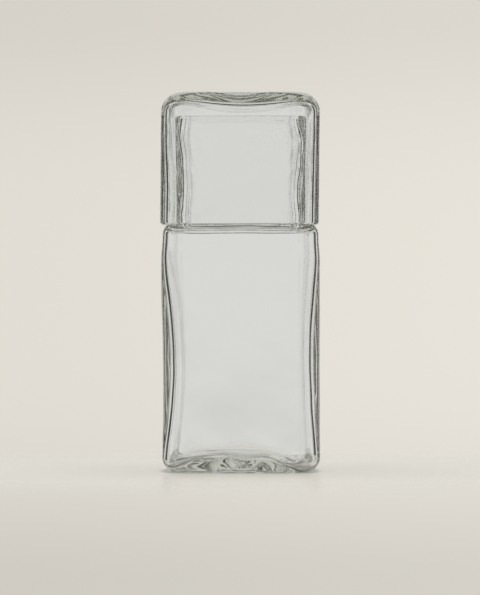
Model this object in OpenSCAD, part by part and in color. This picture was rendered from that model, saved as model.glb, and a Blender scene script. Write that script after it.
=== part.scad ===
// Bedside carafe with a tumbler that stands upside down over its neck as the lid.
// Millimetres, +Z up. The origin is the middle of the carafe's foot, on the resting surface.

/* [Carafe body] */
// Width and depth of the body, and of the tumbler flush above it, across their flat sides
body_w = 85; // [79:0.5:100]
// Height of the body, from the resting surface to the shoulder
body_h = 133; // [100:1:180]
// Radius of the body's upright corners
body_corner_r = 11; // [9.5:0.5:16]
// Radius of the shoulder's edge
shoulder_r = 5; // [3:0.5:5.5]
// Radius of the edge round the foot
foot_r = 8.5; // [6:0.5:9.5]
// Thickness of the body's side walls
body_wall = 4; // [3:0.1:5]
// Thickness of the glass between the shoulder and the hollow
shoulder_wall = 4.2; // [3:0.1:7]
// Thickness of the body's floor
body_floor = 5.2; // [4:0.1:9]
// Radius inside the body, under the shoulder
under_shoulder_r = 3.5; // [2:0.5:5]

/* [Sunken sides and base] */
// How far the middle of each side sinks inward
side_dish = 2.4; // [1:0.1:4]
// Width of the sunken part of a side
side_dish_w = 58; // [40:1:62]
// Height of the sunken part of a side
side_dish_h = 104; // [60:1:110]
// Height of the middle of the sunken part above the resting surface
side_dish_z = 66; // [58:1:72]
// How far the middle of the base is kicked up
base_dish = 4; // [1:0.1:6]
// Width of the kicked-up part of the base
base_dish_w = 52; // [36:1:60]

/* [Neck] */
// Radius of the neck's upright corners, outside
neck_corner_r = 8; // [6.5:0.5:12]
// Thickness of the neck's wall
neck_wall = 4.2; // [3:0.1:5]
// Radius of the cove where the neck grows out of the shoulder
neck_root_r = 2.4; // [1:0.1:2.8]

/* [Tumbler] */
// Height of the tumbler, from its rim to its base
tumbler_h = 71; // [50:0.5:100]
// Radius of the tumbler's upright corners
tumbler_corner_r = 11.5; // [11:0.5:16]
// Radius of the edge round the tumbler's base
tumbler_edge_r = 10.5; // [7:0.5:11]
// Thickness of the tumbler's side walls
tumbler_wall = 4; // [3:0.1:5]
// Thickness of the tumbler's base
tumbler_floor = 4.4; // [3:0.1:6]
// How far the middle of the tumbler's base sinks in
tumbler_dish = 2.2; // [1:0.1:3]
// Width of the sunken part of the tumbler's base
tumbler_dish_w = 44; // [30:1:56]

/* [Fit] */
// Gap between the tumbler's rim and the shoulder that it stands on
seat_gap = 0.3; // [0.1:0.05:0.6]
// Gap all round between the neck and the inside of the tumbler
neck_gap = 4.25; // [3.5:0.25:8]
// Gap between the neck's mouth and the tumbler's base above it
mouth_gap = 6.3; // [2:0.1:20]

/* [Hidden] */
$fn = 96;

// Fine enough for the very large radii of the sunken faces
dish_fn = 256;
// Cuts run past the faces that they open by this much
overrun = 1;

// The tumbler's rim is a full round, as wide as its wall. It comes to rest where its round meets the
// round of the shoulder's edge, so its height follows from the two radii and how far the rim's middle
// is outside the edge's.
rim_r = tumbler_wall / 2;
rim_apart = shoulder_r + rim_r + seat_gap;
rim_out = max(shoulder_r - rim_r, 0);
rim_mid_z = body_h - shoulder_r + sqrt(rim_apart * rim_apart - rim_out * rim_out);
rim_z = rim_mid_z - rim_r;
tumbler_top = rim_z + tumbler_h;

// The neck fills the tumbler's hollow, less the gaps round it and above it.
neck_w = body_w - 2 * (tumbler_wall + neck_gap);
neck_top = tumbler_top - tumbler_floor - tumbler_dish - mouth_gap;

// The cove at the neck's root ends before the shoulder's edge begins to round.
root_r = min(neck_root_r, body_w / 2 - shoulder_r - neck_w / 2);

// Underside of the plate of glass that the neck grows out of
plate_z = body_h - shoulder_wall;

// Radius of the round face that sinks by depth over the given width
function dish_r(width, depth) = (width * width / 4 + depth * depth) / (2 * depth);

// Carries the section drawn by its children round a square with rounded corners. The section's
// left edge is on the axis of the corner's curve, and run is the distance between those axes.
module round_square(run) {
    for (turn = [0:90:270]) {
        rotate([0, 0, turn])
            translate([run / 2, run / 2, 0]) {
                rotate_extrude(angle = 90)
                    children();
                rotate([90, 0, 0])
                    linear_extrude(run)
                        children();
            }
    }
}

// Section of a block's edge: rounded at its outer top corner
module capped_section(reach, height, top_r) {
    intersection() {
        square([reach, height]);
        union() {
            square([reach, height - top_r]);
            square([reach - top_r, height]);
            translate([reach - top_r, height - top_r])
                circle(top_r);
        }
    }
}

// Section of a block's edge: rounded at its outer top corner and its outer low corner
module edge_section(reach, height, top_r, low_r) {
    intersection() {
        capped_section(reach, height, top_r);
        translate([0, height])
            mirror([0, 1])
                capped_section(reach, height, low_r);
    }
}

// Solid square block with rounded upright corners and rounded edges above and below
module rounded_block(width, height, corner_r, top_r, low_r) {
    run = width - 2 * corner_r;
    round_square(run)
        edge_section(corner_r, height, top_r, low_r);
    translate([-run / 2, -run / 2, 0])
        cube([run, run, height]);
}

// Straight square post with rounded upright corners
module square_post(width, height, corner_r) {
    run = width - 2 * corner_r;
    round_square(run)
        square([corner_r, height]);
    translate([-run / 2, -run / 2, 0])
        cube([run, run, height]);
}

// Barrels that stand beside the body and sink its four sides. With deeper they reach that much
// further in, so that the same barrels leave a wall of even thickness when they shape the hollow.
module side_barrels(deeper) {
    wide_r = dish_r(side_dish_w, side_dish);
    tall_r = dish_r(side_dish_h, side_dish);
    for (turn = [0:90:270]) {
        rotate([0, 0, turn])
            translate([body_w / 2 - side_dish + wide_r, 0, side_dish_z])
                rotate_extrude($fn = dish_fn)
                    intersection() {
                        translate([wide_r - tall_r, 0])
                            circle(tall_r + deeper);
                        translate([0, -body_h])
                            square([wide_r + deeper, 2 * body_h]);
                    }
    }
}

// Ball below the foot that kicks the base up, or with thicker the top of the floor above it
module base_ball(thicker) {
    ball_r = dish_r(base_dish_w, base_dish);
    translate([0, 0, base_dish - ball_r])
        sphere(ball_r + thicker, $fn = dish_fn);
}

module body_outside() {
    difference() {
        rounded_block(body_w, body_h, body_corner_r, shoulder_r, foot_r);
        side_barrels(0);
        base_ball(0);
    }
}

module body_hollow() {
    hollow_w = body_w - 2 * body_wall;
    hollow_h = plate_z - body_floor;
    difference() {
        translate([0, 0, body_floor])
            rounded_block(hollow_w, hollow_h, body_corner_r - body_wall,
                under_shoulder_r, foot_r - body_wall);
        side_barrels(body_wall);
        base_ball(body_floor);
    }
}

// Section of the neck's wall: cove at its root, straight wall and a full round at the mouth
module neck_section() {
    inner = neck_corner_r - neck_wall;
    round_r = neck_wall / 2;
    translate([inner, plate_z])
        square([neck_wall, neck_top - round_r - plate_z]);
    translate([inner + round_r, neck_top - round_r])
        circle(round_r);
    difference() {
        translate([inner + round_r, body_h - shoulder_wall / 2])
            square([round_r + root_r, shoulder_wall / 2 + root_r]);
        translate([neck_corner_r + root_r, body_h + root_r])
            circle(root_r);
    }
}

module carafe() {
    neck_run = neck_w - 2 * neck_corner_r;
    color([0.82, 0.86, 0.83, 0.45]) {
        difference() {
            body_outside();
            body_hollow();
            translate([0, 0, plate_z - overrun])
                square_post(neck_w - neck_wall, shoulder_wall + 2 * overrun,
                    neck_corner_r - neck_wall / 2);
        }
        round_square(neck_run)
            neck_section();
    }
}

// Section of the tumbler's wall and of the edge of its base, with a full round at the rim
module tumbler_section() {
    hollow_reach = tumbler_corner_r - tumbler_wall;
    wall_h = tumbler_top - rim_mid_z;
    translate([hollow_reach + rim_r, rim_mid_z])
        circle(rim_r);
    translate([0, rim_mid_z])
        difference() {
            capped_section(tumbler_corner_r, wall_h, tumbler_edge_r);
            translate([0, -overrun])
                capped_section(hollow_reach, wall_h - tumbler_floor + overrun,
                    tumbler_edge_r - tumbler_floor);
        }
}

// Ball above the tumbler's base that sinks it, or with thicker the inner face under it
module tumbler_ball(thicker) {
    ball_r = dish_r(tumbler_dish_w, tumbler_dish);
    translate([0, 0, tumbler_top - tumbler_dish + ball_r])
        sphere(ball_r + thicker, $fn = dish_fn);
}

module tumbler() {
    run = body_w - 2 * tumbler_corner_r;
    floor_z = tumbler_top - tumbler_floor;
    color([0.84, 0.88, 0.85, 0.45])
        difference() {
            union() {
                round_square(run)
                    tumbler_section();
                translate([-run / 2, -run / 2, floor_z])
                    cube([run, run, tumbler_floor]);
                intersection() {
                    translate([-run / 2, -run / 2, floor_z - tumbler_dish - overrun])
                        cube([run, run, tumbler_dish + 2 * overrun]);
                    tumbler_ball(tumbler_floor);
                }
            }
            tumbler_ball(0);
        }
}

carafe();
tumbler();
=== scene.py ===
"""Looks of a bedside carafe with its tumbler upside down over the neck, both of thick clear glass."""

import math

import bmesh
import bpy
import numpy as np
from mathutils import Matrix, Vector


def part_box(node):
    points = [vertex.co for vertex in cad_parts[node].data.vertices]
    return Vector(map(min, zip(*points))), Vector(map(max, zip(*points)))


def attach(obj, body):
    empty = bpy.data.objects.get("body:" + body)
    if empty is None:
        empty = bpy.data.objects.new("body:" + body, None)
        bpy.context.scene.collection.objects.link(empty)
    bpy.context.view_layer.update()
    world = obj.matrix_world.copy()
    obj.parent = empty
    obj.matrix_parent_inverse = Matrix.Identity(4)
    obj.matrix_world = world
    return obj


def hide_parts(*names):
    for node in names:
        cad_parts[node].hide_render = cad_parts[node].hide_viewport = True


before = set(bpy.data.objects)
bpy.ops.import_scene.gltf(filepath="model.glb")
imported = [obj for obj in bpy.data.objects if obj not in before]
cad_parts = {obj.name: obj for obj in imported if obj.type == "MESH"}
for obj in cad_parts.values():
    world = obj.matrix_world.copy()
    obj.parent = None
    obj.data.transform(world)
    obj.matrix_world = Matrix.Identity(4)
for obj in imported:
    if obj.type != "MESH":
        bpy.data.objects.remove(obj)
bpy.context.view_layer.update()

MM = 0.001

# Sizes of the glass are in millimetres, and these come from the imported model
carafe_low, carafe_high = np.array(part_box("carafe")) / MM
tumbler_low, tumbler_high = np.array(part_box("tumbler")) / MM
BODY_HALF = (carafe_high[0] - carafe_low[0]) / 2
NECK_TOP = carafe_high[2]
RIM_Z = tumbler_low[2]
TUMBLER_TOP = tumbler_high[2]

# Outside of the carafe's body
BODY_H = 133.0
BODY_CORNER = 11.6
FOOT_R = 8.5
FOOT_CORNER = 0.9 * BODY_CORNER
SHOULDER_IN = 5.0
SHOULDER_DOWN = 5.4
SHOULDER_CORNER = 0.8 * BODY_CORNER

# Hollow of the body. The flat under its shoulder keeps an edge's width from the neck and the walls,
# and the edge at the neck is eased
BODY_WALL = 2.8
BODY_INNER = BODY_HALF - BODY_WALL
BODY_FLOOR = 3.0
INNER_CORNER = 9.0
INNER_FOOT_R = 5.0
SHOULDER_WALL = 3.0
UNDER_SHOULDER_Z = BODY_H - SHOULDER_WALL
UNDER_SHOULDER_R = 2.4
UNDER_SHOULDER_EDGE = 1.0
UNDER_SHOULDER_EASED = 0.3

# Neck
NECK_HALF = 34.9
NECK_WALL = 3.8
NECK_INNER = NECK_HALF - NECK_WALL
NECK_CORNER = 6.0
NECK_INNER_CORNER = 5.0
NECK_ROOT_R = 1.4

# Tumbler, which stands on its rim, so that its floor is at its top
TUMBLER_WALL = 3.2
TUMBLER_INNER = BODY_HALF - TUMBLER_WALL
TUMBLER_CORNER = 11.0
TUMBLER_INNER_CORNER = 7.0
TUMBLER_FLOOR = 4.8
TUMBLER_FLOOR_Z = TUMBLER_TOP - TUMBLER_FLOOR
TUMBLER_EDGE_R = 11.0
TUMBLER_INNER_EDGE_R = TUMBLER_EDGE_R - TUMBLER_FLOOR
TUMBLER_TIGHT_EDGE_R = 4.4
TUMBLER_DISH = 4.2
TUMBLER_DISH_R = 24.0

# Unevenness of the carafe. A hump is given by its height, its middle and how far it reaches
CORNER_FULLER = (1.4, 60.0, 55.0)
INNER_CORNER_TIGHTER = (1.8, 58.0, 66.0)
HOLLOW_DRAWN_IN = {"left": (3.9, 56.0, 66.0), "right": (2.4, 60.0, 66.0)}
SIDES_SUNK = (1.0, 64.0, 60.0)
FRONT_SUNK = (0.35, 64.0, 60.0)
SUNK_ACROSS = (1.0, 0.0, 34.0)
LEFT_SLIMMER = (1.0, 38.0, 70.0)
NECK_LEFT_THICKER = ((0.7, 148.5, 16.0), (-0.55, 177.5, 12.0))
NECK_RIGHT_THICKER = ((0.7, 189.5, 9.0), (-0.8, 176.0, 12.0), (0.8, 149.0, 15.0))
OUTER_KICK = 5.0
OUTER_KICK_ACROSS = (1.0, 0.0, 33.75)
SCAR_LUMPS = 0.5
# A plateau is given by how far it is whole and how far it reaches
SHOULDER_TAPER = 0.9
SHOULDER_TAPER_DOWN = (6.0, 20.0)
INNER_KICK = 5.2
INNER_KICK_LEFT = 4.0
INNER_KICK_ALONG = (14.0, 38.0)
INNER_KICK_ACROSS = (8.0, 36.0)
INNER_KICK_UP = (1.0, 24.0)
# The swell of the glass fades within these heights of the foot and the lip, to a share of itself at
# the lip, and it is weaker on the front and back of the neck's inside than on its sides
FOOT_FADE = 6.0
LIP_FADE = 12.0
LIP_SWELL = 0.25
FRONT_SWELL = 0.4

# Unevenness of the tumbler, whose swell fades toward its base, and which leans to the left at its rim
SIDE_WALLS_THICKER = 0.3
LEFT_RIM_THICKER = 0.85
RIGHT_RIM_THICKER = 0.5
RIM_THICKER_UP = (14.0, 60.0)
FLOOR_SAG = 2.4
FLOOR_SAG_ALONG = (1.0, 1.5, 36.0)
FLOOR_SAG_ACROSS = (1.0, 0.0, 36.0)
FLOOR_SAG_DOWN = (1.0, 22.0)
BASE_FADE = 12.0
BASE_SWELL = 0.1
LEAN = 0.6

# Fineness of the meshes: points along a side and round a corner of a ring, the spacing of the rings,
# and their number round each edge
SIDE_STEPS = 26
CORNER_STEPS = 24
WALL_STEP = 0.8
BODY_STEP = 1.1
BASE_STEP = 1.5
ROUND_STEPS = 12
SHOULDER_STEPS = 20
NECK_ROOT_STEPS = 7
LIP_STEPS = 14
EDGE_STEPS = 18
INNER_EDGE_STEPS = 14
# Rings nearer than this to the very bottom or the very top belong to the flat there
FLAT_WITHIN = 0.01
# How soon the rings of a flat open from a rounded square into a circle
OPENING = 0.7
# How many sines make up a swell
SWELL_SINES = 14

SIDES = {"right": (1, 0), "back": (0, 1), "left": (-1, 0), "front": (0, -1)}


def swell(points, height, seed, longest, shortest, drawn=(1.0, 1.0, 1.0)):
    """Smooth random unevenness over points, about height either way: a sum of sines in random
    directions. Drawn is less than 1 along an axis that the unevenness is stretched along"""
    draw = np.random.RandomState(seed)
    places = points * np.array(drawn)
    total = np.zeros(points.shape[:-1])
    for _ in range(SWELL_SINES):
        heading = draw.normal(size=3)
        heading /= np.linalg.norm(heading)
        length = longest * (shortest / longest) ** draw.rand()
        total += np.sin(places @ heading * 2 * math.pi / length + draw.rand() * 2 * math.pi)
    return height * (total / math.sqrt(SWELL_SINES))


def hump(x, height, middle, reach):
    """Smooth hump: its height at its middle, falling to 0 as far away as it reaches"""
    away = (x - middle) / reach
    inside = np.clip(1 - away * away, 0, 1)
    return height * (inside * inside)


def humps(x, several):
    """Several humps in one line, added up"""
    return sum(hump(x, *one) for one in several)


def plateau(x, flat, reach):
    """1 as far as flat either way from 0, falling smoothly to 0 at reach"""
    share = np.clip((np.abs(x) - flat) / (reach - flat), 0, 1)
    return 1 - share * share * (3 - 2 * share)


def either(a, b):
    """Shape that is whole where either of two shapes is, both being between 0 and 1"""
    return 1 - (1 - a) * (1 - b)


def round_arc(mid_half, mid_z, radius, start, end, steps=ROUND_STEPS, rise=None):
    """Stations along an arc in the section, from start to end in degrees, 0 being outward. An oval
    arc has another radius upward, its rise"""
    turn = np.radians(np.linspace(start, end, steps + 1))
    up = rise or radius
    return [(mid_half + radius * math.cos(a), mid_z + up * math.sin(a)) for a in turn]


def straight(start, end, step=WALL_STEP):
    """Stations between two places in the section, leaving both out"""
    count = max(2, round(math.dist(start, end) / step))
    shares = np.arange(1, count) / count
    return [tuple(np.array(start) * (1 - t) + np.array(end) * t) for t in shares]


def ring_of(half, corner):
    """Plan of a rounded square, with the outward direction at each point"""
    run = half - corner
    quarter = []
    for i in range(SIDE_STEPS):
        along = math.sin((i / SIDE_STEPS - 0.5) * math.pi)
        quarter.append((half, run * along, 1.0, 0.0))
    for i in range(CORNER_STEPS):
        a = math.pi / 2 * i / CORNER_STEPS
        c, s = math.cos(a), math.sin(a)
        quarter.append((run + corner * c, run + corner * s, c, s))
    places, headings = [], []
    for turn in range(4):
        c, s = math.cos(turn * math.pi / 2), math.sin(turn * math.pi / 2)
        for x, y, nx, ny in quarter:
            places.append((x * c - y * s, x * s + y * c))
            headings.append((nx * c - ny * s, nx * s + ny * c))
    return np.array(places), np.array(headings)


def with_corners(path, wall, flat):
    """Adds the plan's corner radius to each station of a path. Wall and flat are each a half width
    and the corner radius there. Inside the flat's width the plan opens into a circle"""
    stations = []
    for half, z in path:
        if half >= flat[0]:
            share = (half - flat[0]) / max(wall[0] - flat[0], 1e-6)
            corner = flat[1] + (wall[1] - flat[1]) * share
        else:
            share = flat[1] / flat[0]
            corner = half * (share + (1 - share) * (1 - half / flat[0]) ** OPENING)
        stations.append((half, z, corner))
    return stations


def face_outward(mesh):
    """Turns a closed mesh the right way out, so that the glass is inside it"""
    shell = bmesh.new()
    shell.from_mesh(mesh)
    if shell.calc_volume(signed=True) < 0:
        bmesh.ops.reverse_faces(shell, faces=shell.faces)
    shell.to_mesh(mesh)
    shell.free()


class Loft:
    """Closed glass shape: a ring at each station of its named stretches, and a pole at either end"""

    def __init__(self, **stretches):
        rings, headings, names = [], [], []
        for name, stations in stretches.items():
            for half, z, corner in stations:
                plan, heading = ring_of(half, corner)
                rings.append(np.column_stack([plan, np.full(len(plan), z)]))
                headings.append(heading)
                names.append(name)
        self.grid = np.array(rings)
        self.heading = np.array(headings)
        self.names = np.array(names)

    def on(self, *names):
        """True for the rings of these stretches"""
        return np.isin(self.names, names)[:, None]

    def normals(self):
        around = np.roll(self.grid, -1, axis=1) - np.roll(self.grid, 1, axis=1)
        along = np.gradient(self.grid, axis=0)
        normal = np.cross(around, along)
        size = np.linalg.norm(normal, axis=2, keepdims=True)
        return normal / np.maximum(size, 1e-9)

    def side(self, name):
        """How squarely each point faces a side, and its place along that side"""
        dx, dy = SIDES[name]
        facing = np.clip(self.heading @ np.array([dx, dy]), 0, 1) ** 2
        along = self.grid[..., 0] * -dy + self.grid[..., 1] * dx
        return facing, along

    def build(self, name):
        rows, cols = self.grid.shape[:2]
        poles = [self.grid[0].mean(axis=0), self.grid[-1].mean(axis=0)]
        verts = [tuple(place * MM) for place in [*self.grid.reshape(-1, 3), *poles]]
        first, last = rows * cols, rows * cols + 1
        faces = []
        for r in range(rows - 1):
            for c in range(cols):
                d = (c + 1) % cols
                faces.append((r * cols + c, r * cols + d, (r + 1) * cols + d, (r + 1) * cols + c))
        for c in range(cols):
            d = (c + 1) % cols
            faces.append((first, d, c))
            faces.append((last, (rows - 1) * cols + c, (rows - 1) * cols + d))
        mesh = bpy.data.meshes.new(name)
        mesh.from_pydata(verts, [], faces)
        mesh.validate()
        face_outward(mesh)
        mesh.shade_smooth()
        piece = bpy.data.objects.new(name, mesh)
        bpy.context.scene.collection.objects.link(piece)
        return piece


def press_in(p, side, push):
    """Moves points inward from one side, each by its own push"""
    dx, dy = SIDES[side]
    p[..., 0] -= dx * push
    p[..., 1] -= dy * push


def carafe_outside():
    """Stations from the middle of the base round the foot, up the body and over the shoulder"""
    foot_flat = BODY_HALF - FOOT_R
    shoulder_flat = BODY_HALF - SHOULDER_IN
    shoulder_z = BODY_H - SHOULDER_DOWN
    foot = with_corners(
        straight((0.0, 0.0), (foot_flat, 0.0), BASE_STEP)
        + round_arc(foot_flat, FOOT_R, FOOT_R, -90, 0),
        (BODY_HALF, BODY_CORNER), (foot_flat, FOOT_CORNER))
    wall = with_corners(
        straight((BODY_HALF, FOOT_R), (BODY_HALF, shoulder_z), BODY_STEP)
        + round_arc(shoulder_flat, shoulder_z, SHOULDER_IN, 0, 90, SHOULDER_STEPS, rise=SHOULDER_DOWN),
        (BODY_HALF, BODY_CORNER), (shoulder_flat, SHOULDER_CORNER))
    return foot + [(half, z, corner + float(hump(z, *CORNER_FULLER))) for half, z, corner in wall]


def carafe_neck():
    """Stations up the outside of the neck to the top of its lip, and those down its inside"""
    lip = NECK_WALL / 2
    edge, eased = UNDER_SHOULDER_EDGE, UNDER_SHOULDER_EASED
    neck = with_corners(
        round_arc(NECK_HALF + NECK_ROOT_R, BODY_H + NECK_ROOT_R, NECK_ROOT_R, -90, -180, NECK_ROOT_STEPS)
        + straight((NECK_HALF, BODY_H + NECK_ROOT_R), (NECK_HALF, NECK_TOP - lip))
        + round_arc(NECK_HALF - lip, NECK_TOP - lip, lip, 0, 180, LIP_STEPS)
        + straight((NECK_INNER, NECK_TOP - lip), (NECK_INNER, UNDER_SHOULDER_Z + edge))
        + [(NECK_INNER + eased, UNDER_SHOULDER_Z + eased), (NECK_INNER + edge, UNDER_SHOULDER_Z)],
        (NECK_HALF, NECK_CORNER), (NECK_INNER, NECK_INNER_CORNER))
    lip_end = 1 + np.argmax([z for _, z, _ in neck])
    return neck[:lip_end], neck[lip_end:]


def carafe_inside():
    """Stations from under the shoulder down the walls and round to the middle of the floor"""
    under_shoulder = BODY_INNER - UNDER_SHOULDER_R
    inner_foot = BODY_INNER - INNER_FOOT_R
    wall_top = UNDER_SHOULDER_Z - UNDER_SHOULDER_R
    wall_foot = BODY_FLOOR + INNER_FOOT_R
    path = [(under_shoulder - UNDER_SHOULDER_EDGE, UNDER_SHOULDER_Z)]
    path += round_arc(under_shoulder, wall_top, UNDER_SHOULDER_R, 90, 0)
    path += straight((BODY_INNER, wall_top), (BODY_INNER, wall_foot), BODY_STEP)
    wall = [(half, z, INNER_CORNER - float(hump(z, *INNER_CORNER_TIGHTER))) for half, z in path]
    return wall + with_corners(
        round_arc(inner_foot, wall_foot, INNER_FOOT_R, 0, -90)
        + straight((inner_foot, BODY_FLOOR), (0.0, BODY_FLOOR), BASE_STEP),
        (BODY_INNER, INNER_CORNER), (inner_foot, INNER_CORNER))


def draw_hollow_in(glass, p):
    """Hollow drawn in at mid-height, corners and all, most of all on the left"""
    for side, drawn_in in HOLLOW_DRAWN_IN.items():
        dx, dy = SIDES[side]
        outward = p[..., 0] * dx + p[..., 1] * dy
        share = np.clip(outward / (BODY_INNER - INNER_CORNER), 0, 1)
        press_in(p, side, glass.on("inside") * share * hump(p[..., 2], *drawn_in))


def sink_faces(glass, p):
    """Outer faces sunk in their middle, and the left side a little slimmer low down"""
    z = p[..., 2]
    for side in SIDES:
        facing, along = glass.side(side)
        sunk = SIDES_SUNK if side in ("left", "right") else FRONT_SUNK
        push = hump(z, *sunk) * hump(along, *SUNK_ACROSS)
        if side == "left":
            push = push + hump(z, *LEFT_SLIMMER)
        press_in(p, side, glass.on("outside") * facing * push)


def taper_to_shoulder(glass, p):
    """Body a little slimmer toward the shoulder, its hollow too"""
    near = plateau(BODY_H - p[..., 2], *SHOULDER_TAPER_DOWN)
    taper = glass.on("outside", "inside") * SHOULDER_TAPER * near / BODY_HALF
    p[..., :2] *= (1 - taper)[..., None]


def kick_base_up(glass, p):
    """Base kicked up in the middle, outside and inside, with a lumpy scar in both faces"""
    x, y, z = p[..., 0], p[..., 1], p[..., 2]
    radial = np.hypot(glass.grid[..., 0], glass.grid[..., 1])
    underside = glass.on("outside") & (z < FLAT_WITHIN)
    lumps = swell(glass.grid, SCAR_LUMPS, seed=33, longest=18, shortest=8, drawn=(0.4, 1.0, 1.0))
    p[..., 2] += underside * (OUTER_KICK + lumps) * hump(radial, *OUTER_KICK_ACROSS)
    mound = either(plateau(x + INNER_KICK_LEFT, *INNER_KICK_ALONG), plateau(y, *INNER_KICK_ACROSS))
    lumps = swell(glass.grid, SCAR_LUMPS, seed=32, longest=30, shortest=12)
    low_down = glass.on("inside") * plateau(z - BODY_FLOOR, *INNER_KICK_UP)
    p[..., 2] += (INNER_KICK * mound + lumps) * low_down


def carafe_swell(glass, z):
    """Slow swell of blown glass, stronger inside where no mould touched it and weak at the lip"""
    q = glass.grid
    outside = swell(q, 0.06, seed=11, longest=60, shortest=22) * np.clip(z / FOOT_FADE, 0, 1)
    inside = swell(q, 0.08, seed=12, longest=70, shortest=22)
    inside = inside + swell(q, 0.02, seed=14, longest=22, shortest=9)
    neck = swell(q, 0.08, seed=16, longest=26, shortest=8, drawn=(1.0, 1.0, 0.35))
    neck = neck + swell(q, 0.05, seed=19, longest=10, shortest=5)
    throat = swell(q, 0.25, seed=13, longest=20, shortest=10, drawn=(1.0, 1.0, 0.5))
    throat = throat * (FRONT_SWELL + (1 - FRONT_SWELL) * np.abs(glass.heading[..., 0]))
    amount = glass.on("outside") * outside + glass.on("inside") * inside
    amount = amount + glass.on("neck") * neck + glass.on("throat") * throat
    return amount * np.clip((NECK_TOP - z) / LIP_FADE + LIP_SWELL, LIP_SWELL, 1)


def thicken_neck(glass, p):
    """Neck walls thicker and thinner by turns down the left and right"""
    z = p[..., 2]
    share = np.clip(p[..., 0] / (NECK_INNER - NECK_INNER_CORNER), -1, 1)
    thicker = np.where(share < 0, humps(z, NECK_LEFT_THICKER), humps(z, NECK_RIGHT_THICKER))
    p[..., 0] -= glass.on("throat") * share * thicker


def make_carafe():
    neck, throat = carafe_neck()
    glass = Loft(outside=carafe_outside(), neck=neck, throat=throat, inside=carafe_inside())
    p = glass.grid.copy()
    draw_hollow_in(glass, p)
    sink_faces(glass, p)
    taper_to_shoulder(glass, p)
    kick_base_up(glass, p)
    thicken_neck(glass, p)
    glass.grid = p + glass.normals() * carafe_swell(glass, p[..., 2])[..., None]
    return glass.build("carafe_glass")


def tumbler_walls():
    """Stations from the middle of the base out and down to the rim, and those back up inside"""
    half, inner, inner_corner = BODY_HALF, TUMBLER_INNER, TUMBLER_INNER_CORNER
    lip = TUMBLER_WALL / 2
    edge_half = half - TUMBLER_EDGE_R
    inner_edge = TUMBLER_INNER_EDGE_R
    outside = with_corners(
        straight((0.0, TUMBLER_TOP), (edge_half, TUMBLER_TOP))
        + round_arc(edge_half, TUMBLER_TOP - TUMBLER_EDGE_R, TUMBLER_EDGE_R, 90, 0, EDGE_STEPS)
        + straight((half, TUMBLER_TOP - TUMBLER_EDGE_R), (half, RIM_Z + lip)),
        (half, TUMBLER_CORNER), (edge_half, TUMBLER_CORNER))
    rim = with_corners(
        round_arc(half - lip, RIM_Z + lip, lip, 0, -180, LIP_STEPS)
        + straight((inner, RIM_Z + lip), (inner, TUMBLER_FLOOR_Z - inner_edge)),
        (half, TUMBLER_CORNER), (inner, inner_corner))
    floor = with_corners(
        round_arc(inner - inner_edge, TUMBLER_FLOOR_Z - inner_edge, inner_edge, 0, 90, INNER_EDGE_STEPS)
        + straight((inner - inner_edge, TUMBLER_FLOOR_Z), (0.0, TUMBLER_FLOOR_Z)),
        (inner, inner_corner), (inner - inner_edge, inner_corner))
    walls = outside + rim + floor
    rim_end = 1 + np.argmin([z for _, z, _ in walls])
    return walls[:rim_end], walls[rim_end:]


def tumbler_swell(glass):
    """Slow swell of blown glass, stronger inside and weak on the base"""
    q = glass.grid
    outside = swell(q, 0.04, seed=21, longest=40, shortest=18, drawn=(1.0, 1.0, 0.4))
    outside = outside + swell(q, 0.03, seed=24, longest=14, shortest=7, drawn=(1.0, 1.0, 0.5))
    inside = swell(q, 0.10, seed=22, longest=70, shortest=26)
    amount = glass.on("outside") * outside + glass.on("inside") * inside
    return amount * np.clip((TUMBLER_TOP - q[..., 2]) / BASE_FADE, BASE_SWELL, 1)


def folded_in(z, radius):
    """How far in the edge of the tumbler's inner floor has come at a height, as a share of its radius"""
    up = np.clip((z - TUMBLER_FLOOR_Z + radius) / radius, 0, 1)
    return 1 - np.sqrt(1 - up ** 2)


def make_tumbler():
    outside, inside = tumbler_walls()
    glass = Loft(outside=outside, inside=inside)
    is_out, is_in = glass.on("outside"), glass.on("inside")
    x, y, z = np.moveaxis(glass.grid, -1, 0)
    p = glass.grid + glass.normals() * tumbler_swell(glass)[..., None]

    # Edge of the inner floor tighter at the front and back than at the sides
    edge, tight = TUMBLER_INNER_EDGE_R, TUMBLER_TIGHT_EDGE_R
    tightened = (TUMBLER_INNER - tight * folded_in(z, tight)) / (TUMBLER_INNER - edge * folded_in(z, edge))
    p[..., 1] *= np.where(is_in, tightened, 1)

    # Base, which is its top here, slightly dished
    dish = np.clip(1 - (np.hypot(x, y) / TUMBLER_DISH_R) ** 2, 0, 1)
    p[..., 2] -= is_out * (z > TUMBLER_TOP - FLAT_WITHIN) * TUMBLER_DISH * dish

    # Side walls thicker than the front and back, the left one more so toward the rim
    at_rim = plateau(z - RIM_Z, *RIM_THICKER_UP)
    share = np.clip(x / (TUMBLER_INNER - TUMBLER_INNER_CORNER), -1, 1)
    thicker = SIDE_WALLS_THICKER + np.where(share < 0, LEFT_RIM_THICKER, RIGHT_RIM_THICKER) * at_rim
    p[..., 0] -= is_in * thicker * share

    # Inner floor sagging along both middle lines
    sag = either(hump(x, *FLOOR_SAG_ALONG), hump(y, *FLOOR_SAG_ACROSS))
    p[..., 2] -= is_in * FLOOR_SAG * sag * plateau(TUMBLER_FLOOR_Z - z, *FLOOR_SAG_DOWN)

    # Lean to the left
    p[..., 0] -= LEAN * (TUMBLER_TOP - z) / (TUMBLER_TOP - RIM_Z)
    glass.grid = p
    return glass.build("tumbler_glass")


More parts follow.
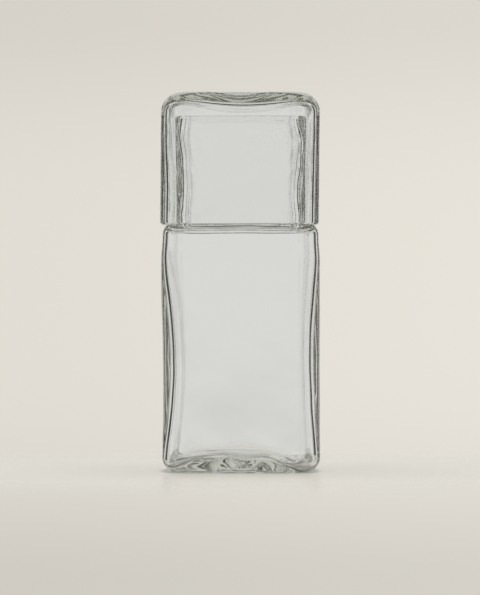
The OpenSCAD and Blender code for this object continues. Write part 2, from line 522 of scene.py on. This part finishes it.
class Value:
    """A socket of a node tree that Python's operators turn into Math nodes"""

    def __init__(self, nodes, socket):
        self.nodes = nodes
        self.socket = socket

    def math(self, operation, *others):
        return self.nodes.add("ShaderNodeMath", {"operation": operation}, dict(enumerate((self, *others))))

    def __add__(self, other):
        return self.math("ADD", other)

    __radd__ = __add__

    def __sub__(self, other):
        return self.math("SUBTRACT", other)

    def __rsub__(self, other):
        return self.nodes.add("ShaderNodeMath", {"operation": "SUBTRACT"}, {0: other, 1: self})

    def __mul__(self, other):
        return self.math("MULTIPLY", other)

    __rmul__ = __mul__

    def __truediv__(self, other):
        return self.math("DIVIDE", other)

    def __pow__(self, other):
        return self.math("POWER", other)

    def size(self):
        """The value without its sign"""
        return (self * self) ** 0.5

    def between(self, low, high):
        """0 up to low, 1 from high, smooth in between"""
        return self.nodes.add("ShaderNodeMapRange", {"interpolation_type": "SMOOTHSTEP"},
            {"Value": self, "From Min": low, "From Max": high})


class Nodes:
    """Adds nodes to one tree, each from its type, its settings and what goes into its sockets"""

    def __init__(self, tree):
        self.tree = tree
        tree.nodes.clear()

    def add(self, kind, settings=None, inputs=None, output=0):
        node = self.tree.nodes.new(kind)
        for name, value in (settings or {}).items():
            setattr(node, name, value)
        for key, value in (inputs or {}).items():
            if isinstance(value, Value):
                self.tree.links.new(value.socket, node.inputs[key])
            else:
                node.inputs[key].default_value = value
        return Value(self, node.outputs[output]) if node.outputs else node

    def mix(self, share, a, b):
        """Colour between a and b, through the sockets that a Mix node has for colours"""
        return self.add("ShaderNodeMix", {"data_type": "RGBA"}, {0: share, 6: a, 7: b}, output=2)

    def split(self, vector):
        node = self.add("ShaderNodeSeparateXYZ", inputs={0: vector}).socket.node
        return [Value(self, node.outputs[i]) for i in range(3)]


WHITE = (1, 1, 1, 1)
# Colour that light keeps as it passes through the glass
GLASS_TINT = (0.918, 0.922, 0.908, 1)
GLASS_IOR = 1.5
# Relief too fine for the mesh: ripples, and cords drawn out upright. Its depth is in metres
RIPPLE_GRAIN = 60.0
RIPPLE_SHARE = 0.6
CORD_GRAIN = 108.0
CORD_DRAWN = (1.0, 1.0, 0.12)
RELIEF_STRENGTH = 0.04
RELIEF_DEPTH = 0.0004
# Streaks of painted shade in the corners of the glass: how far their edge takes to come in, inward and
# upward in metres, their grain, how they are drawn out upright, and the values of the noise from which they
# begin and are whole
SHADE_EDGE = 0.0015
SHADE_EDGE_UP = 0.002
STREAK_GRAIN = 520.0
STREAK_DRAWN = (1.0, 1.0, 0.22)
STREAK_FROM = (0.5, 0.56)


def clear_glass(name, density, shade_from, shade_above, shade_colour):
    """Clear glass that takes a little colour with thickness, and has streaks of painted shade in its
    corners, so far from the middle both ways and above a height, in metres"""
    material = bpy.data.materials.new(name)
    material.use_nodes = True
    nodes = Nodes(material.node_tree)
    place = nodes.add("ShaderNodeTexCoord", output="Object")
    x, y, z = nodes.split(place)

    ripple = nodes.add("ShaderNodeTexNoise", {}, {"Vector": place, "Scale": RIPPLE_GRAIN, "Detail": 2.0})
    upright = nodes.add("ShaderNodeMapping", {}, {"Vector": place, "Scale": CORD_DRAWN})
    cord = nodes.add("ShaderNodeTexNoise", {}, {"Vector": upright, "Scale": CORD_GRAIN, "Detail": 1.0})
    relief = nodes.add("ShaderNodeBump", {}, {
        "Height": ripple * RIPPLE_SHARE + cord * (1 - RIPPLE_SHARE),
        "Strength": RELIEF_STRENGTH, "Distance": RELIEF_DEPTH})

    # Corners darkened in streaks above a height: painted shade, put into the glass's colour
    from_middle = x.size().math("MINIMUM", y.size())
    corner = from_middle.between(shade_from, shade_from + SHADE_EDGE)
    corner = corner * z.between(shade_above, shade_above + SHADE_EDGE_UP)
    streak_place = nodes.add("ShaderNodeMapping", {}, {"Vector": place, "Scale": STREAK_DRAWN})
    streak = nodes.add("ShaderNodeTexNoise", {}, {"Vector": streak_place, "Scale": STREAK_GRAIN, "Detail": 1.0})
    # Painted shade: the glass's colour is darkened toward the shade colour in the streaks
    shaded_tint = nodes.mix(corner * streak.between(*STREAK_FROM), WHITE, shade_colour)

    glass = nodes.add("ShaderNodeBsdfPrincipled", {}, {"Base Color": shaded_tint, "Roughness": 0.0,
        "IOR": GLASS_IOR, "Transmission Weight": 1.0, "Normal": relief})
    loss = nodes.add("ShaderNodeVolumeAbsorption", {}, {"Color": GLASS_TINT, "Density": density})
    nodes.add("ShaderNodeOutputMaterial", {}, {"Surface": glass, "Volume": loss})
    return material


STUDIO_LIGHT = (0.70, 0.705, 0.68, 1)
BACKDROP = (0.776, 0.745, 0.679, 1)
# How bright the gaps and the belt still are, as a share of the walls of light
DARK = 0.025
# Where the gaps and the belt begin and end. Foot and top are the upward part of a direction, and
# side is how squarely it faces a wall, from 0 at a diagonal to 1
GAP_FOOT = (-0.185, -0.165)
GAP_TOP = (0.34, 0.52)
GAP_SIDE = (0.08, 0.235)
BELT_FOOT = (0.54, 0.66)
BELT_TOP = (0.80, 0.90)
BELT_SIDE = (0.25, 0.55)
# Dimmer strip just below the horizon, and where it begins and ends downward
STRIP_DIM = 0.1
STRIP_TOP = (0.0, 0.06)
STRIP_FOOT = (0.08, 0.3)
# Backdrop: how much it falls off away from the horizon and how much more below it, the square of the
# upward part where that is whole, and how it brightens from left to right
FALL_OFF = 0.11
FALL_OFF_BELOW = 0.06
FALL_OFF_WITHIN = 0.0035
LEFT_LIGHT = 0.97
RIGHT_BRIGHTER = 0.06
LEFT_TO_RIGHT = (-0.06, 0.06)
HORIZON = (-0.001, 0.001)


def light_on_glass(x, y, z):
    """Strength of the light from a direction: four pale walls with a dark gap at each diagonal, a dark
    belt high up over each wall, and a slightly dimmer strip just below the horizon"""
    flat = x * x + y * y
    square_on = (x * x - y * y) * (x * x - y * y) / (flat * flat + 1e-6)
    gap = (1 - square_on.between(*GAP_SIDE)) * (1 - z.between(*GAP_TOP)) * z.between(*GAP_FOOT)
    belt = z.between(*BELT_FOOT) * (1 - z.between(*BELT_TOP)) * square_on.between(*BELT_SIDE)
    dark = gap * (1 - belt) + belt
    down = 0 - z
    strip = down.between(*STRIP_TOP) * (1 - down.between(*STRIP_FOOT))
    return (1 - (1 - DARK) * dark) * (1 - STRIP_DIM * strip)


def backdrop_light(x, z):
    """Strength of the backdrop that the camera sees: even, falling off a little away from the horizon,
    more below it than above, and a little brighter to the right"""
    off_level = (z * z).between(0.0, FALL_OFF_WITHIN)
    off_below = off_level * (1 - z.between(*HORIZON))
    aside = LEFT_LIGHT + RIGHT_BRIGHTER * x.between(*LEFT_TO_RIGHT)
    return (1 - FALL_OFF * off_level - FALL_OFF_BELOW * off_below) * aside


def studio_world():
    """Soft studio: the glass sees walls of light and dark gaps, and the camera a plain backdrop"""
    world = bpy.data.worlds.new("studio")
    bpy.context.scene.world = world
    world.use_nodes = True
    nodes = Nodes(world.node_tree)
    x, y, z = nodes.split(nodes.add("ShaderNodeTexCoord", output="Generated"))
    lit = nodes.add("ShaderNodeBackground", {}, {"Color": STUDIO_LIGHT, "Strength": light_on_glass(x, y, z)})
    seen = nodes.add("ShaderNodeBackground", {}, {"Color": BACKDROP, "Strength": backdrop_light(x, z)})
    camera_ray = nodes.add("ShaderNodeLightPath", output="Is Camera Ray")
    shown = nodes.add("ShaderNodeMixShader", {}, {0: camera_ray, 1: lit, 2: seen})
    nodes.add("ShaderNodeOutputWorld", {}, {"Surface": shown})


# Table top: its size in metres, the fineness of its mesh, and how much closer its rings lie inward
TABLE_R = 14.0
TABLE_RINGS = 24
TABLE_SPOKES = 96
TABLE_CROWDING = 2.5

# Painted light that the table gives off as a glow, with painted shade in it: far from the carafe, darker
# near it, a painted shadow behind it, a painted contact shadow close to its foot, a dark ring under the ring
# of the foot and a lighter glow under the middle of the base
TABLE_FAR = (0.40, 0.38, 0.342, 1)
TABLE_NEAR = (0.335, 0.318, 0.284, 1)
TABLE_BEHIND = (0.27, 0.28, 0.27, 1)
TABLE_AT_FOOT = (0.2, 0.2, 0.19, 1)
UNDER_FOOT = (0.05, 0.05, 0.05, 1)
UNDER_BASE = (0.34, 0.34, 0.33, 1)
BEHIND_SHARE = 0.7
AT_FOOT_SHARE = 0.12
# Paint of the open table, the darker paint of the patch under the carafe, which is painted shade, and the
# table's gloss
TABLE_PAINT = (0.70, 0.67, 0.62, 1)
PATCH_SHADE_PAINT = (0.55, 0.54, 0.51, 1)
PAINT_ROUGHNESS = 0.9
GLOSS_SHARE = 0.3
GLOSS_ROUGHNESS = 0.2
# Where each shade begins and ends, in metres from the middle of the base
NEAR_EDGE = (0.045, 0.16)
PATCH_EDGE = (0.040, 0.045)
UNDER_BASE_EDGE = (0.034, 0.041)
BEHIND_FROM = (0.0, 0.05)
BEHIND_TO = (0.1, 0.35)
BEHIND_SIDES = (0.032, 0.044)
AT_FOOT_TO = (0.06, 0.13)
AT_FOOT_SIDES = (0.036, 0.052)
TABLE_FADES = (0.05, 0.4)


def pale_table():
    """Pale, slightly glossy table that fades into the backdrop away from the carafe. Its glow is painted
    light, with painted shadows round and under the foot. Places are in metres from the middle of the base"""
    material = bpy.data.materials.new("pale_table")
    material.use_nodes = True
    nodes = Nodes(material.node_tree)
    x, y, _ = nodes.split(nodes.add("ShaderNodeTexCoord", output="Object"))
    away = (x * x + y * y) ** 0.5
    squarish = (x * x * x * x + y * y * y * y) ** 0.25
    near = 1 - squarish.between(*NEAR_EDGE)
    patch = 1 - squarish.between(*PATCH_EDGE)
    middle = 1 - away.between(*UNDER_BASE_EDGE)
    behind = y.between(*BEHIND_FROM) * (1 - y.between(*BEHIND_TO)) * (1 - x.size().between(*BEHIND_SIDES))
    at_foot = (1 - (0 - y).between(*AT_FOOT_TO)) * (1 - x.size().between(*AT_FOOT_SIDES))

    # Painted light and shadow: the glow is darker near the carafe, behind it and at its foot, with a dark
    # ring under the foot
    open_table = nodes.mix(near, TABLE_FAR, TABLE_NEAR)
    open_table = nodes.mix(behind * BEHIND_SHARE, open_table, TABLE_BEHIND)
    open_table = nodes.mix(at_foot * AT_FOOT_SHARE, open_table, TABLE_AT_FOOT)
    glow = nodes.mix(patch, open_table, nodes.mix(middle, UNDER_FOOT, UNDER_BASE))
    # Painted shade: the paint under the carafe is darker than that of the open table
    paint_and_shade = nodes.mix(patch, TABLE_PAINT, PATCH_SHADE_PAINT)
    soft = nodes.add("ShaderNodeBsdfPrincipled", {}, {"Base Color": paint_and_shade, "Roughness": PAINT_ROUGHNESS,
        "Specular IOR Level": 0.0, "Emission Color": glow, "Emission Strength": 1.0})
    gloss = nodes.add("ShaderNodeBsdfGlossy", {}, {"Color": WHITE, "Roughness": GLOSS_ROUGHNESS})
    waxed = nodes.add("ShaderNodeMixShader", {}, {0: GLOSS_SHARE, 1: soft, 2: gloss})
    clear = nodes.add("ShaderNodeBsdfTransparent")
    shown = nodes.add("ShaderNodeMixShader", {}, {0: away.between(*TABLE_FADES), 1: waxed, 2: clear})
    nodes.add("ShaderNodeOutputMaterial", {}, {"Surface": shown})
    return material


def make_table():
    verts, faces = [(0.0, 0.0, 0.0)], []
    for r in range(1, TABLE_RINGS + 1):
        away = TABLE_R * (r / TABLE_RINGS) ** TABLE_CROWDING
        for s in range(TABLE_SPOKES):
            a = 2 * math.pi * s / TABLE_SPOKES
            verts.append((away * math.cos(a), away * math.sin(a), 0.0))
    for s in range(TABLE_SPOKES):
        t = (s + 1) % TABLE_SPOKES
        faces.append((0, 1 + s, 1 + t))
        for r in range(TABLE_RINGS - 1):
            low, high = 1 + r * TABLE_SPOKES, 1 + (r + 1) * TABLE_SPOKES
            faces.append((low + s, high + s, high + t, low + t))
    mesh = bpy.data.meshes.new("table_top")
    mesh.from_pydata(verts, [], faces)
    mesh.materials.append(pale_table())
    table = bpy.data.objects.new("table_top", mesh)
    bpy.context.scene.collection.objects.link(table)


# Frame of the photograph in pixels, and the carafe's width and middle in it
FRAME_W, FRAME_H = 480, 595
CARAFE_PX = 159.4
CARAFE_MID_PX = 240.6
# Camera in metres: level, just under half the object's height, and far away for almost parallel
# sight lines
CAMERA_AWAY = 2.6
CAMERA_HIGH = 0.0937
SENSOR_H = 24.0
# Where the carafe's outline shows, as a share of the way from its middle to its front
OUTLINE_DEPTH = 0.85


def make_camera():
    camera = bpy.data.objects.new("camera", bpy.data.cameras.new("camera"))
    bpy.context.scene.collection.objects.link(camera)
    mm_per_px = 2 * BODY_HALF / CARAFE_PX
    outline_away = CAMERA_AWAY - BODY_HALF * MM * OUTLINE_DEPTH
    camera.data.sensor_fit = "VERTICAL"
    camera.data.sensor_height = SENSOR_H
    camera.data.lens = SENSOR_H * outline_away / (FRAME_H * mm_per_px * MM)
    aside = -(CARAFE_MID_PX - FRAME_W / 2) * mm_per_px * MM
    camera.location = (aside, -CAMERA_AWAY, CAMERA_HIGH)
    camera.rotation_euler = (math.pi / 2, 0, 0)
    bpy.context.scene.camera = camera


# Bounces enough for light to find its way through every wall of glass
GLASS_BOUNCES = 40
MOST_BOUNCES = 64


def let_light_through():
    scene = bpy.context.scene
    scene.view_settings.view_transform = "Standard"
    scene.cycles.transmission_bounces = GLASS_BOUNCES
    scene.cycles.glossy_bounces = GLASS_BOUNCES
    scene.cycles.max_bounces = MOST_BOUNCES
    scene.cycles.blur_glossy = 0.0


def dress():
    carafe = make_carafe()
    # Each glass gets streaks of painted shade in its corners, from a given height up
    carafe.data.materials.append(clear_glass("carafe_glass", density=50.0,
        shade_from=0.0298, shade_above=0.1365, shade_colour=(0.4, 0.4, 0.39, 1)))
    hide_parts("carafe")
    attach(carafe, "carafe")
    tumbler = make_tumbler()
    tumbler.data.materials.append(clear_glass("tumbler_glass", density=70.0,
        shade_from=0.0365, shade_above=0.138, shade_colour=(0.55, 0.55, 0.54, 1)))
    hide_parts("tumbler")
    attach(tumbler, "tumbler")


make_camera()
let_light_through()
studio_world()
make_table()
dress()
